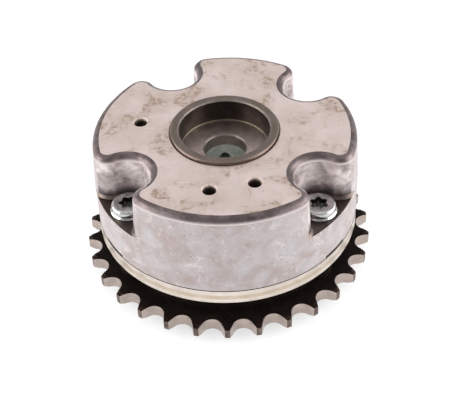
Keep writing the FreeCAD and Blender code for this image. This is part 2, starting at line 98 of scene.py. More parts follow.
class Graph:
    """Builds the node graph of one material or world."""

    ROUGHNESS: ClassVar[float] = 0.6

    def __init__(self, owner: Any) -> None:
        """Starts an empty graph.

        Args:
            owner: Material or world.
        """
        owner.use_nodes = True
        self.owner = owner
        self.tree = owner.node_tree
        self.tree.nodes.clear()
        self.coordinates = self.add("ShaderNodeTexCoord")
        self.place = self.coordinates.outputs["Object"]

    def add(self, kind: str, **settings: Any) -> bpy.types.Node:
        """Adds one node.

        Args:
            kind: Node type.
            **settings: Properties to set on the node.

        Returns:
            The new node.
        """
        node = self.tree.nodes.new(kind)
        for key, value in settings.items():
            setattr(node, key, value)
        return node

    def wire(self, source: Any, target: Any) -> None:
        """Links a socket, or writes a constant into it.

        Args:
            source: Output socket or constant.
            target: Input socket.
        """
        if isinstance(source, bpy.types.NodeSocket):
            self.tree.links.new(source, target)
        else:
            target.default_value = source

    def calc(self, operation: str, *values: Any) -> bpy.types.NodeSocket:
        """Adds a math node.

        Args:
            operation: Math operation.
            *values: Sockets or numbers.

        Returns:
            The result socket.
        """
        node = self.add("ShaderNodeMath", operation=operation)
        for socket, value in zip(node.inputs, values):
            self.wire(value, socket)
        return node.outputs[0]

    def stretched(self, scale: Sequence[float], turn: float) -> bpy.types.NodeSocket:
        """Turns and stretches the object coordinates.

        Args:
            scale: Factors along X, Y and Z.
            turn: Degrees about Z.

        Returns:
            The new coordinates.
        """
        node = self.add("ShaderNodeMapping")
        node.inputs["Rotation"].default_value = (0.0, 0.0, math.radians(turn))
        node.inputs["Scale"].default_value = tuple(scale)
        self.wire(self.place, node.inputs["Vector"])
        return node.outputs["Vector"]

    def cloud(self, size: float, detail: float, shift: float = 0.0, place: Any = None) -> Any:
        """Adds noise with features of a given size.

        Args:
            size: Feature size in millimetres.
            detail: Noise octaves.
            shift: Distortion.
            place: Coordinates, or None for the object's.

        Returns:
            The noise value from 0 to 1.
        """
        node = self.add("ShaderNodeTexNoise")
        node.inputs["Scale"].default_value = 1.0 / (size * MM)
        node.inputs["Detail"].default_value = detail
        node.inputs["Roughness"].default_value = self.ROUGHNESS
        node.inputs["Distortion"].default_value = shift
        self.wire(place or self.place, node.inputs["Vector"])
        return node.outputs["Fac"]

    def span(self, value: Any, low: float, high: float, start: float = 0.0, end: float = 1.0) -> Any:
        """Maps a range onto another with soft ends.

        Args:
            value: Input socket.
            low: Input that gives start.
            high: Input that gives end.
            start: First output.
            end: Last output.

        Returns:
            The mapped socket.
        """
        node = self.add("ShaderNodeMapRange", interpolation_type="SMOOTHSTEP")
        for socket, item in zip(node.inputs, (value, low, high, start, end)):
            self.wire(item, socket)
        return node.outputs["Result"]

    def blend(self, share: Any, first: Any, second: Any) -> Any:
        """Mixes two colours.

        Args:
            share: Share of the second colour.
            first: First colour or socket.
            second: Second colour or socket.

        Returns:
            The mixed colour socket.
        """
        node = self.add("ShaderNodeMix", data_type="RGBA")
        self.wire(share, node.inputs["Factor"])
        for value, socket in ((first, node.inputs[6]), (second, node.inputs[7])):
            self.wire(tuple(value) + (1.0,) if isinstance(value, tuple) else value, socket)
        return node.outputs[2]

    def bump(self, height: Any, depth: float, under: Any = None) -> Any:
        """Adds relief.

        Args:
            height: Height socket.
            depth: Depth of the relief in millimetres.
            under: Normal socket of the relief beneath, if there is one.

        Returns:
            The normal socket.
        """
        node = self.add("ShaderNodeBump")
        node.inputs["Strength"].default_value = 1.0
        node.inputs["Distance"].default_value = depth * MM
        self.wire(height, node.inputs["Height"])
        if under is not None:
            self.wire(under, node.inputs["Normal"])
        return node.outputs["Normal"]

    def parts(self) -> List[Any]:
        """Returns the X, Y and Z of the object coordinates."""
        split = self.add("ShaderNodeSeparateXYZ")
        self.wire(self.place, split.inputs[0])
        return list(split.outputs)

    def radius(self) -> Any:
        """Returns the distance from the Z axis in millimetres."""
        x, y, _ = self.parts()
        flat = self.calc("ADD", self.calc("POWER", x, 2.0), self.calc("POWER", y, 2.0))
        return self.calc("MULTIPLY", self.calc("SQRT", flat), 1.0 / MM)

    def height(self) -> Any:
        """Returns the height above the rear hub's face in millimetres."""
        return self.calc("MULTIPLY", self.parts()[2], 1.0 / MM)


@dataclass(frozen=True)
class Finish:
    """One surface finish: a metal with mottling, stains, specks, tool marks and grain, and on some painted
    light that changes with height: a painted highlight on the fillet, painted shade in the pockets and
    holes.
    """

    name: str
    colour: Colour
    mottle: Colour
    mottle_size: float = 6.0
    mottle_share: float = 0.6
    stain: Colour = (0.20, 0.14, 0.10)
    stain_size: float = 7.0
    stain_share: float = 0.0
    stain_from: float = 0.56
    speck: Colour = (0.11, 0.075, 0.055)
    speck_share: float = 0.0
    speck_size: float = 0.7
    rough: float = 0.35
    rough_spread: float = 0.12
    metal: float = 1.0
    grain_size: float = 0.35
    grain_depth: float = 0.01
    marks: Marks = Marks.NONE
    mark_pitch: float = 0.35
    mark_depth: float = 0.01
    scratch_share: float = 0.0
    specular: float = 0.5
    # Painted light by height: below painted_light_low the tone is painted_light_tone, above
    # painted_light_high the finish's own, blended between.
    painted_light_low: float = 0.0
    painted_light_high: float = 0.0
    painted_light_tone: Colour = (0.03, 0.024, 0.022)

    MIDDLE: ClassVar[float] = 0.5
    MOTTLE_GAIN: ClassVar[float] = 0.3
    ROUGH_SIZE: ClassVar[float] = 0.6
    STAIN_SOFT: ClassVar[float] = 0.14
    BREAK_SIZE: ClassVar[float] = 0.14
    BREAK_SPAN: ClassVar[Plan] = (0.38, 0.62)
    SPECK_SPAN: ClassVar[Plan] = (0.67, 0.74)
    SCRATCH_SPAN: ClassVar[Plan] = (0.70, 0.76)
    SCRATCH_STRETCH: ClassVar[Colour] = (0.045, 2.4, 1.0)
    SCRATCH_TURNS: ClassVar[Tuple[Plan, ...]] = ((24.0, 1.25), (-41.0, 0.62), (78.0, 1.25))
    MARK_DRIFT: ClassVar[float] = 3.0
    MARK_DRIFT_SIZE: ClassVar[float] = 4.0

    def build(self) -> bpy.types.Material:
        """Builds the node material.

        Returns:
            The material.
        """
        graph = Graph(bpy.data.materials.new(self.name))
        half = self.mottle_share * self.MOTTLE_GAIN
        clouds = graph.span(graph.cloud(self.mottle_size, 6.0, 0.5), self.MIDDLE - half, self.MIDDLE + half)
        tone = self.stained(graph, graph.blend(clouds, self.colour, self.mottle))
        tone = self.scratched(graph, tone)
        # Painted light by height: a painted highlight on the fillet, painted shade down the pockets and
        # holes.
        if self.painted_light_high:
            share = graph.span(graph.height(), self.painted_light_low, self.painted_light_high)
            tone = graph.blend(share, self.painted_light_tone, tone)
        uneven = graph.cloud(self.mottle_size * self.ROUGH_SIZE, 4.0)
        rough = graph.calc("ADD", self.rough - self.rough_spread / 2.0,
                           graph.calc("MULTIPLY", uneven, self.rough_spread))
        shader = graph.add("ShaderNodeBsdfPrincipled")
        graph.wire(tone, shader.inputs["Base Color"])
        graph.wire(rough, shader.inputs["Roughness"])
        shader.inputs["Metallic"].default_value = self.metal
        shader.inputs["Specular IOR Level"].default_value = self.specular
        graph.wire(self.relief(graph), shader.inputs["Normal"])
        graph.wire(shader.outputs[0], graph.add("ShaderNodeOutputMaterial").inputs["Surface"])
        return graph.owner

    def stained(self, graph: Graph, tone: Any) -> Any:
        """Lays stains and specks over the base tone.

        Args:
            graph: Graph in work.
            tone: Base colour socket.

        Returns:
            The stained colour socket.
        """
        if self.stain_share:
            patches = graph.span(graph.cloud(self.stain_size, 9.0, 1.2), self.stain_from,
                                 self.stain_from + self.STAIN_SOFT)
            broken = graph.span(graph.cloud(self.stain_size * self.BREAK_SIZE, 4.0), *self.BREAK_SPAN)
            share = graph.calc("MULTIPLY", graph.calc("MULTIPLY", patches, broken), self.stain_share)
            tone = graph.blend(share, tone, self.stain)
        if self.speck_share:
            dots = graph.span(graph.cloud(self.speck_size, 2.0), *self.SPECK_SPAN)
            tone = graph.blend(graph.calc("MULTIPLY", dots, self.speck_share), tone, self.speck)
        return tone

    def scratched(self, graph: Graph, tone: Any) -> Any:
        """Draws fine light and dark scratches.

        Args:
            graph: Graph in work.
            tone: Colour socket.

        Returns:
            The scratched colour socket.
        """
        if not self.scratch_share:
            return tone
        for turn, gain in self.SCRATCH_TURNS:
            lines = graph.cloud(1.0, 2.0, 0.0, graph.stretched(self.SCRATCH_STRETCH, turn))
            share = graph.calc("MULTIPLY", graph.span(lines, *self.SCRATCH_SPAN), self.scratch_share)
            tone = graph.blend(share, tone, tuple(min(1.0, c * gain) for c in self.colour))
        return tone

    def relief(self, graph: Graph) -> Any:
        """Makes the normal from grain and tool marks.

        Args:
            graph: Graph in work.

        Returns:
            The normal socket.
        """
        grain = graph.bump(graph.cloud(self.grain_size, 3.0), self.grain_depth)
        if self.marks is Marks.NONE:
            return grain
        along = graph.radius() if self.marks is Marks.RINGS else graph.height()
        drift = graph.calc("MULTIPLY", graph.cloud(self.MARK_DRIFT_SIZE, 2.0), self.MARK_DRIFT)
        phase = graph.calc("ADD", graph.calc("MULTIPLY", along, 2.0 * math.pi / self.mark_pitch), drift)
        return graph.bump(graph.calc("SINE", phase), self.mark_depth, grain)


FINISHES = {
    "face": Finish(
        "face_machined", (0.83, 0.70, 0.675), (0.66, 0.545, 0.48), mottle_size=10.0, mottle_share=0.8,
        stain=(0.385, 0.255, 0.18), stain_size=10.0, stain_share=0.8, stain_from=0.50,
        speck_share=0.45, speck_size=0.9, rough=0.42, scratch_share=0.7, grain_depth=0.006),
    # Thin line round the front face: a painted highlight on its sharp edge.
    "edge": Finish("face_edge_painted_highlight", (0.95, 0.90, 0.88), (0.74, 0.66, 0.64), rough=0.3, grain_depth=0.003),
    # Round under the front face: a darker cast surface whose dark band is also painted dark reflection,
    # with a painted highlight along its lower part.
    "fillet": Finish(
        "fillet_cast_painted_reflection_and_highlight", (0.19, 0.148, 0.15), (0.095, 0.072, 0.072), mottle_size=4.0,
        stain=(0.40, 0.33, 0.33), stain_size=2.4, stain_share=0.4, rough=0.40, metal=0.75,
        grain_depth=0.016, painted_light_low=44.5, painted_light_high=45.75, painted_light_tone=(0.70, 0.62, 0.61)),
    "wall": Finish(
        "wall_cast", (0.48, 0.445, 0.46), (0.385, 0.315, 0.30), mottle_size=7.0, mottle_share=0.7,
        stain=(0.74, 0.65, 0.64), stain_size=4.0, stain_share=0.65, stain_from=0.52,
        speck_share=0.7, speck_size=0.9, rough=0.40, rough_spread=0.18, metal=0.45,
        grain_size=0.5, grain_depth=0.014),
    # The shelf and the foot ledge are given much darker colours than the front face and the wall.
    "shelf": Finish(
        "shelf_milled", (0.125, 0.096, 0.088), (0.08, 0.06, 0.054), mottle_size=5.0, rough=0.36,
        grain_depth=0.006),
    "foot": Finish("foot_ledge", (0.17, 0.135, 0.12), (0.10, 0.078, 0.07), mottle_size=3.0, rough=0.42),
    # Pocket walls: a lighter copy of the cast wall finish as painted light, with painted shade darkening
    # them towards the shelf.
    "pocket": Finish(
        "pocket_cast_painted_highlight_and_shade", (0.80, 0.71, 0.70), (0.21, 0.165, 0.16), mottle_size=4.6, mottle_share=0.8,
        stain=(0.20, 0.155, 0.15), stain_size=2.6, stain_share=0.65, stain_from=0.54,
        rough=0.36, rough_spread=0.2, metal=0.3, grain_size=0.5, grain_depth=0.016,
        painted_light_low=32.4, painted_light_high=37.6, painted_light_tone=(0.045, 0.034, 0.032)),
    # Chamfers and walls of the holes and the front bore: a light chamfer tone with painted shade darkening
    # down into them.
    "chamfer": Finish(
        "hole_chamfer", (0.66, 0.545, 0.49), (0.46, 0.36, 0.31), mottle_size=1.5, rough=0.6,
        metal=0.2, painted_light_low=45.1, painted_light_high=46.5, painted_light_tone=(0.055, 0.036, 0.028)),
    "inner": Finish("inner_cast", (0.24, 0.215, 0.20), (0.16, 0.14, 0.13), mottle_size=5.0, rough=0.4),
    "rim": Finish(
        "rim_turned", (0.73, 0.655, 0.60), (0.62, 0.545, 0.485), mottle_size=8.0,
        stain=(0.40, 0.31, 0.20), stain_size=6.0, stain_share=0.35, rough=0.28, rough_spread=0.08,
        marks=Marks.BANDS, mark_pitch=0.5, mark_depth=0.005, grain_depth=0.002),
    "groove": Finish("rim_groove", (0.62, 0.525, 0.43), (0.52, 0.43, 0.33)),
    # Dark joint at the parting line, and painted shade on the rim top seen inside the housing's notches.
    "seam": Finish(
        "seam_dark_and_notch_shade", (0.022, 0.017, 0.015), (0.085, 0.068, 0.060), mottle_size=1.2, mottle_share=0.8,
        rough=0.5),
    # Near-white lower edge of the band: a painted highlight.
    "lip": Finish("rim_lip_painted_highlight", (0.92, 0.90, 0.88), (0.84, 0.80, 0.76), rough=0.2),
    "oxide": Finish(
        "sprocket_oxide", (0.0060, 0.0042, 0.0036), (0.012, 0.0075, 0.006), mottle_size=5.0,
        stain=(0.050, 0.030, 0.022), stain_size=3.0, stain_share=0.35, stain_from=0.58,
        speck_share=0.3, rough=0.55, metal=0.0, specular=0.05, grain_size=0.4),
    # Tooth tops near the tips: brown wear stains, and a lighter tone that is a painted highlight on the tip
    # bevels.
    "tip": Finish(
        "tooth_tip_worn_and_painted_highlight", (0.034, 0.020, 0.015), (0.010, 0.007, 0.006), mottle_size=1.6,
        stain=(0.20, 0.14, 0.115), stain_size=1.2, stain_share=0.8, stain_from=0.55, rough=0.4,
        grain_depth=0.02),
    "land": Finish(
        "tooth_land", (0.20, 0.15, 0.13), (0.07, 0.05, 0.042), mottle_size=1.5, mottle_share=0.9,
        stain=(0.42, 0.34, 0.30), stain_size=1.4, stain_share=0.6, stain_from=0.55, rough=0.38,
        grain_depth=0.012),
    "gullet": Finish(
        "tooth_ground", (0.50, 0.425, 0.385), (0.39, 0.325, 0.29), mottle_size=3.5, mottle_share=0.9,
        stain=(0.06, 0.04, 0.035), stain_size=1.8, stain_share=0.9, stain_from=0.60,
        speck_share=0.6, rough=0.36, metal=0.9, grain_size=0.5, grain_depth=0.012),
    "collar": Finish(
        "collar_steel", (0.215, 0.170, 0.150), (0.17, 0.132, 0.114), mottle_size=7.0, rough=0.33,
        marks=Marks.RINGS, mark_pitch=0.28, mark_depth=0.004, grain_depth=0.003),
    # Inner wall of the cup: the cup's steel darkened as painted shade, with turning marks.
    "recess": Finish(
        "recess_steel_painted_shade", (0.088, 0.072, 0.065), (0.055, 0.045, 0.040), mottle_size=5.0, rough=0.34,
        marks=Marks.BANDS, mark_pitch=0.4, mark_depth=0.006, grain_depth=0.003),
    # Floor of the cup: the cup's steel lightened as painted reflection, with turning rings.
    "floor": Finish(
        "recess_floor_painted_reflection", (0.50, 0.405, 0.37), (0.33, 0.27, 0.24), rough=0.38,
        marks=Marks.RINGS, mark_pitch=0.45, mark_depth=0.006, grain_depth=0.004),
    # Chamfers of the cup: a painted highlight.
    "shine": Finish(
        "chamfer_painted_highlight", (0.28, 0.235, 0.21), (0.20, 0.165, 0.145), mottle_size=3.0, rough=0.5,
        grain_depth=0.002),
    # Round at the foot of the cup's bore: a painted highlight along the corner.
    "painted_corner_highlight": Finish(
        "recess_corner_painted_highlight", (0.22, 0.19, 0.135), (0.13, 0.11, 0.085), mottle_size=5.0, mottle_share=0.9,
        rough=0.38),
    "zinc": Finish(
        "bolt_zinc", (0.66, 0.655, 0.65), (0.42, 0.415, 0.41), mottle_size=1.8, rough=0.18,
        rough_spread=0.14, grain_size=0.3, grain_depth=0.006),
    # Walls of the bolt's six-lobe recess: painted shade on the zinc.
    "socket": Finish("bolt_socket", (0.10, 0.10, 0.09), (0.05, 0.05, 0.045), mottle_size=1.4, rough=0.34),
    # Vane rotor: a near-white tone as painted light, so the bore seen through the cup looks lit.
    "rotor": Finish(
        "rotor_sintered_painted_light", (0.95, 0.99, 0.94), (0.60, 0.63, 0.58), mottle_size=2.5, mottle_share=0.9,
        rough=0.42, metal=0.65, marks=Marks.BANDS, mark_pitch=0.5, mark_depth=0.006),
    "steel": Finish("inner_steel", (0.46, 0.44, 0.42), (0.36, 0.345, 0.33), mottle_size=3.0, rough=0.28),
    "resin": Finish(
        "seal_resin", (0.035, 0.032, 0.028), (0.05, 0.045, 0.04), mottle_size=2.0, rough=0.5,
        metal=0.0, grain_size=0.2, grain_depth=0.008),
}


class Bench:
    """Modelling operators as used by hand, all about the Z axis."""

    @staticmethod
    def choose(shape: Shape) -> None:
        """Makes an object the active one and the only one selected."""
        bpy.ops.object.select_all(action="DESELECT")
        shape.select_set(True)
        bpy.context.view_layer.objects.active = shape

    @staticmethod
    def point(at: Sequence[float]) -> None:
        """Starts a mesh as one vertex, in edit mode.

        Args:
            at: Place of the vertex in metres.
        """
        bpy.ops.object.select_all(action="DESELECT")
        bpy.ops.mesh.primitive_plane_add(size=MM, enter_editmode=True, location=(0.0, 0.0, 0.0))
        bpy.ops.mesh.select_mode(type="VERT")
        bpy.ops.mesh.select_all(action="SELECT")
        bpy.ops.mesh.merge(type="CENTER")
        bpy.ops.transform.translate(value=tuple(at))

    @staticmethod
    def draw(start: Sequence[float], stops: Sequence[Sequence[float]]) -> None:
        """Draws straight edges from point to point.

        Args:
            start: Where the last vertex is.
            stops: Points to reach in turn.
        """
        here = Vector(start)
        for stop in stops:
            step = Vector(stop) - here
            bpy.ops.mesh.extrude_region_move(TRANSFORM_OT_translate={"value": tuple(step)})
            here = Vector(stop)

    @staticmethod
    def swing(here: Plan, centre: Plan, there: Plan, left: bool, height: float, steps: int) -> None:
        """Draws an arc in plan from the last vertex.

        Args:
            here: Where the last vertex is.
            centre: Centre of the arc.
            there: Where it ends.
            left: True if the arc turns to the left.
            height: Height of the plan in metres.
            steps: Number of edges.
        """
        first = math.atan2(here[1] - centre[1], here[0] - centre[0])
        last = math.atan2(there[1] - centre[1], there[0] - centre[0])
        turn = (last - first) % (2.0 * math.pi) if left else -((first - last) % (2.0 * math.pi))
        bpy.ops.mesh.spin(steps=steps, angle=-turn, center=(centre[0], centre[1], height),
                          axis=(0.0, 0.0, 1.0))

    @staticmethod
    def close(name: str) -> Shape:
        """Welds the mesh, turns its faces outward and leaves edit mode.

        Args:
            name: Name of the object.

        Returns:
            The object.
        """
        bpy.ops.mesh.select_all(action="SELECT")
        bpy.ops.mesh.remove_doubles(threshold=WELD)
        bpy.ops.mesh.normals_make_consistent(inside=False)
        bpy.ops.object.mode_set(mode="OBJECT")
        shape = bpy.context.object
        shape.name = shape.data.name = name
        return shape

    @classmethod
    def turned(cls, name: str, profile: Sequence[Plan], steps: int, at: Plan = AXIS) -> Shape:
        """Turns a closed profile about an upright axis.

        Args:
            name: Name of the object.
            profile: Points as (radius, height), in millimetres.
            steps: Number of edges round the axis.
            at: Place of the axis in plan, in metres.

        Returns:
            The turned object.
        """
        points = [(r * MM + at[0], at[1], z * MM) for r, z in profile]
        on_axis = profile[0][0] == 0.0 and profile[-1][0] == 0.0
        cls.point(points[0])
        cls.draw(points[0], points[1:] + ([] if on_axis else points[:1]))
        bpy.ops.mesh.select_all(action="SELECT")
        bpy.ops.mesh.spin(steps=steps, angle=2.0 * math.pi, center=(at[0], at[1], 0.0),
                          axis=(0.0, 0.0, 1.0))
        return cls.close(name)

    @classmethod
    def stepped(cls, side: Sequence[Plan], at: Plan = AXIS, steps: int = TOOL_STEPS) -> Shape:
        """Turns a solid from the outline of its side.

        Args:
            side: Points from the bottom up as (radius, height), in millimetres.
            at: Radius in millimetres and azimuth of its axis.
            steps: Number of edges round the axis.

        Returns:
            The turned solid.
        """
        profile = [(0.0, side[0][1]), *side, (0.0, side[-1][1])]
        return cls.turned("turned", profile, steps, polar(*at))

    @classmethod
    def outline(cls, name: str, start: Plan, moves: Sequence[Tuple], low: float,
                high: float) -> Shape:
        """Draws a closed plan of arcs and lines and extrudes it.

        Args:
            name: Name of the object.
            start: First point, in metres.
            moves: (end,) for a line, (end, centre, left, steps) for an arc.
            low: Height of the plan in millimetres.
            high: Height of the top in millimetres.

        Returns:
            The extruded solid.
        """
        level = low * MM
        cls.point((start[0], start[1], level))
        here = start
        for move in moves:
            if len(move) == 1:
                cls.draw((*here, level), [(*move[0], level)])
            else:
                cls.swing(here, move[1], move[0], move[2], level, move[3])
            here = move[0]
        bpy.ops.mesh.select_all(action="SELECT")
        bpy.ops.mesh.remove_doubles(threshold=WELD)
        bpy.ops.mesh.edge_face_add()
        bpy.ops.mesh.extrude_region_move(TRANSFORM_OT_translate={"value": (0.0, 0.0, high * MM - level)})
        return cls.close(name)

    @classmethod
    def weld(cls, shape: Shape) -> None:
        """Merges doubles and removes slivers that a cut has left.

        Args:
            shape: Object to weld.
        """
        cls.choose(shape)
        bpy.ops.object.mode_set(mode="EDIT")
        bpy.ops.mesh.select_all(action="SELECT")
        bpy.ops.mesh.remove_doubles(threshold=WELD)
        bpy.ops.mesh.dissolve_degenerate(threshold=WELD)
        bpy.ops.mesh.normals_make_consistent(inside=False)
        bpy.ops.object.mode_set(mode="OBJECT")

    @staticmethod
    def together(tools: Sequence[Shape]) -> Shape:
        """Joins separate tools into one object.

        Args:
            tools: Objects that do not touch each other.

        Returns:
            The joined object.
        """
        bpy.ops.object.select_all(action="DESELECT")
        for tool in tools:
            tool.select_set(True)
        bpy.context.view_layer.objects.active = tools[0]
        bpy.ops.object.join()
        return tools[0]

    @classmethod
    def apply(cls, shape: Shape, kind: str, **settings: Any) -> None:
        """Puts a modifier on an object and applies it.

        Args:
            shape: Object to change.
            kind: Modifier type.
            **settings: Properties to set on the modifier.
        """
        step = shape.modifiers.new("step", kind)
        for key, value in settings.items():
            setattr(step, key, value)
        cls.choose(shape)
        bpy.ops.object.modifier_apply(modifier=step.name)

    @classmethod
    def combine(cls, shape: Shape, tool: Shape, side: Side) -> None:
        """Cuts, adds or intersects a tool, which is used up.

        Args:
            shape: Object to change.
            tool: Tool object.
            side: What to do with the tool.
        """
        cls.apply(shape, "BOOLEAN", solver="EXACT", operation=side.value, object=tool)
        bpy.data.objects.remove(tool)

    @classmethod
    def soften(cls, shape: Shape, width: float, sharp: float) -> None:
        """Rounds the sharp edges a little.

        Args:
            shape: Object to round.
            width: Width of the round in millimetres.
            sharp: Least angle in degrees of an edge to round.
        """
        cls.apply(shape, "BEVEL", width=width * MM, segments=2, limit_method="ANGLE",
                  angle_limit=math.radians(sharp), miter_outer="MITER_ARC")

    @classmethod
    def smooth(cls, shape: Shape, angle: float) -> None:
        """Shades faces smooth up to an angle, and level faces flat.

        Args:
            shape: Object to shade.
            angle: Greatest angle in degrees that stays smooth.
        """
        cls.choose(shape)
        bpy.ops.object.shade_smooth_by_angle(angle=math.radians(angle))
        for face in shape.data.polygons:
            if abs(face.normal.z) > FLAT:
                face.use_smooth = False


def polar(radius: float, azimuth: float) -> Plan:
    """Returns a plan point in metres from a radius in millimetres and an azimuth in degrees."""
    angle = math.radians(azimuth)
    return radius * MM * math.cos(angle), radius * MM * math.sin(angle)


def shifted(at: Plan, turn: float) -> Plan:
    """Returns a plan point in millimetres turned by degrees about the axis, in metres."""
    return polar(math.hypot(*at), math.degrees(math.atan2(at[1], at[0])) + turn)


def dress(shape: Shape, materials: Materials, names: Sequence[str],
          rule: Callable[[Vector, Vector], str], kept: Sequence[str] = ()) -> None:
    """Gives each face of a piece its finish by place and normal.

    Args:
        shape: Piece to dress.
        materials: Materials by finish.
        names: Finishes in slot order.
        rule: Gives the finish from the face's middle in millimetres and its normal.
        kept: Finishes of faces that keep what they have.
    """
    slots = [names.index(name) for name in kept]
    shape.data.materials.clear()
    for name in names:
        shape.data.materials.append(materials[name])
    for face in shape.data.polygons:
        if face.material_index not in slots:
            face.material_index = names.index(rule(face.center / MM, face.normal))


@dataclass
class Housing:
    """Lobed housing: outer wall, four scallops, chamber with shoes, front bore and holes."""

    materials: Materials
    pocket: float = 7.0
    corner: float = 5.3
    shelf_rise: float = 13.2
    chamber_rise: float = 21.4
    draft: float = 0.8
    fillet: float = 2.1
    edge_line: float = 0.3
    foot: float = 0.8
    foot_lip: float = 0.05
    trim_spare: float = 0.03
    chamber: float = 38.0
    shoe_tip: float = 23.7
    shoe_half: float = 16.9
    front_bore: float = 16.84
    front_chamfer: float = 0.5
    bolt_hole: float = 3.3
    bolt_hole_over: float = 0.5
    hole: float = 2.1
    hole_chamfer: float = 0.35
    vent: Plan = (28.0, PIN_AZIMUTH)
    blind: Tuple[Plan, ...] = ((26.8, 167.0), (26.4, -72.1))
    blind_depth: float = 4.6
    notch_half: float = 6.6
    notch_rise: float = 0.9
    notch_depth: float = 2.4
    slot_half: float = 1.0
    slot_end: float = 26.2
    dowel_rise: float = 5.0
    corner_steps: int = 24
    pocket_steps: int = 44
    shelf_steps: int = 26
    chamber_steps: int = 30
    shoe_steps: int = 16
    notch_steps: int = 6
    fillet_steps: int = 8
    hole_steps: int = 40
    plain_steps: int = 32
    trim_steps: int = 180
    smooth_to: float = 30.0
    wall_pitch: float = 2.0
    by_wall: float = 0.05
    by_bolt: float = 1.5

    FINISHES: ClassVar[Tuple[str, ...]] = (
        "wall", "edge", "face", "fillet", "shelf", "inner", "foot", "pocket", "chamfer", "oxide")

    def __post_init__(self) -> None:
        """Reads the levels and the outer radius from the frame, and finds a corner round's centre."""
        low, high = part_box("housing")
        self.base_z, self.face_z = low.z / MM, high.z / MM
        self.wall = high.x / MM
        self.shelf_z = self.base_z + self.shelf_rise
        self.ceiling_z = self.base_z + self.chamber_rise
        reach = self.wall - self.corner
        span = self.pocket + self.corner
        self.corner_x = (reach ** 2 + BOLT_RING ** 2 - span ** 2) / (2.0 * BOLT_RING)
        self.corner_y = math.sqrt(reach ** 2 - self.corner_x ** 2)
        self.corner_az = math.degrees(math.atan2(self.corner_y, self.corner_x))

    def wall_line(self, out: float) -> Tuple[Plan, List[Tuple]]:
        """Draws the lobes' outline, moved outward.

        Args:
            out: How far it is moved, in millimetres.

        Returns:
            The start point and the moves.
        """
        wall = self.wall + out
        share = (self.pocket - out) / (self.pocket + self.corner)
        touch = (BOLT_RING + (self.corner_x - BOLT_RING) * share, self.corner_y * share)
        moves: List[Tuple] = []
        for here, after in self.gaps():
            before, beyond = (self.corner_x, -self.corner_y), (self.corner_x, self.corner_y)
            moves += [
                (shifted((touch[0], -touch[1]), here), shifted(before, here), True, self.corner_steps),
                (shifted(touch, here), polar(BOLT_RING, here), False, self.pocket_steps),
                (polar(wall, here + self.corner_az), shifted(beyond, here), True, self.corner_steps),
                (polar(wall, after - self.corner_az), AXIS, True, round((after - here) / self.wall_pitch)),
            ]
        return polar(wall, SCALLOPS[0] - self.corner_az), moves

    def round_line(self) -> Tuple[Plan, List[Tuple]]:
        """Draws the full round outline below the scallops, with the lobes' own wall points.

        Returns:
            The start point and the moves.
        """
        moves: List[Tuple] = []
        for here, after in self.gaps():
            moves += [
                (polar(self.wall, here + self.corner_az), AXIS, True, self.shelf_steps),
                (polar(self.wall, after - self.corner_az), AXIS, True,
                 round((after - here) / self.wall_pitch)),
            ]
        return polar(self.wall, SCALLOPS[0] - self.corner_az), moves

    @staticmethod
    def gaps() -> List[Plan]:
        """Gives each scallop's azimuth with the next one's."""
        return list(zip(SCALLOPS, SCALLOPS[1:] + (SCALLOPS[0] + TURN,)))

    def lobes(self) -> Shape:
        """Builds the lobes with their sloped foot, drafted wall, face round and edge line.

        Returns:
            The solid of the lobes, with the edge line already in its finish, a painted highlight.
        """
        start, moves = self.wall_line(self.foot)
        lip_z = self.shelf_z + self.foot_lip
        rise = self.face_z - lip_z - self.foot
        shape = Bench.outline("lobed_housing", start, moves, self.shelf_z, lip_z)
        for finish in self.FINISHES[:2]:
            shape.data.materials.append(self.materials[finish])
        for inward, upward in ((self.foot, self.foot), (self.draft, rise)):
            self.pick_face(shape)
            bpy.ops.mesh.inset(thickness=inward * MM, depth=upward * MM, use_even_offset=True)
            bpy.ops.object.mode_set(mode="OBJECT")
        self.pick_face(shape)
        bpy.ops.mesh.bevel(offset=self.fillet * MM, segments=self.fillet_steps, affect="EDGES",
                           clamp_overlap=False)
        bpy.ops.object.mode_set(mode="OBJECT")
        self.pick_face(shape)
        bpy.ops.mesh.inset(thickness=self.edge_line * MM, use_even_offset=True)
        bpy.ops.object.mode_set(mode="OBJECT")
        # The thin ring round the face takes the edge finish, a painted highlight.
        level = [f for f in shape.data.polygons if abs(f.center.z - self.face_z * MM) < WELD]
        largest = max(level, key=lambda f: f.area)
        for face in level:
            face.material_index = 0 if face is largest else 1
        return shape

    @staticmethod
    def pick_face(shape: Shape) -> None:
        """Selects the flat front face and enters edit mode.

        Args:
            shape: The lobes in work.
        """
        bpy.ops.object.mode_set(mode="EDIT")
        bpy.ops.mesh.select_mode(type="FACE")
        bpy.ops.mesh.select_all(action="DESELECT")
        bpy.ops.object.mode_set(mode="OBJECT")
        top = max((f for f in shape.data.polygons if f.normal.z > LEVEL), key=lambda f: f.area)
        top.select = True
        bpy.ops.object.mode_set(mode="EDIT")

    def chamber_tool(self) -> Shape:
        """Builds the tool for the chamber between the shoes.

        Returns:
            The tool.
        """
        moves: List[Tuple] = []
        for here, after in self.gaps():
            moves += [
                (polar(self.shoe_tip, here - self.shoe_half),),
                (polar(self.shoe_tip, here + self.shoe_half), AXIS, True, self.shoe_steps),
                (polar(self.chamber, here + self.shoe_half),),
                (polar(self.chamber, after - self.shoe_half), AXIS, True, self.chamber_steps),
            ]
        start = polar(self.chamber, SCALLOPS[0] - self.shoe_half)
        return Bench.outline("chamber", start, moves, self.base_z - OVER, self.ceiling_z)

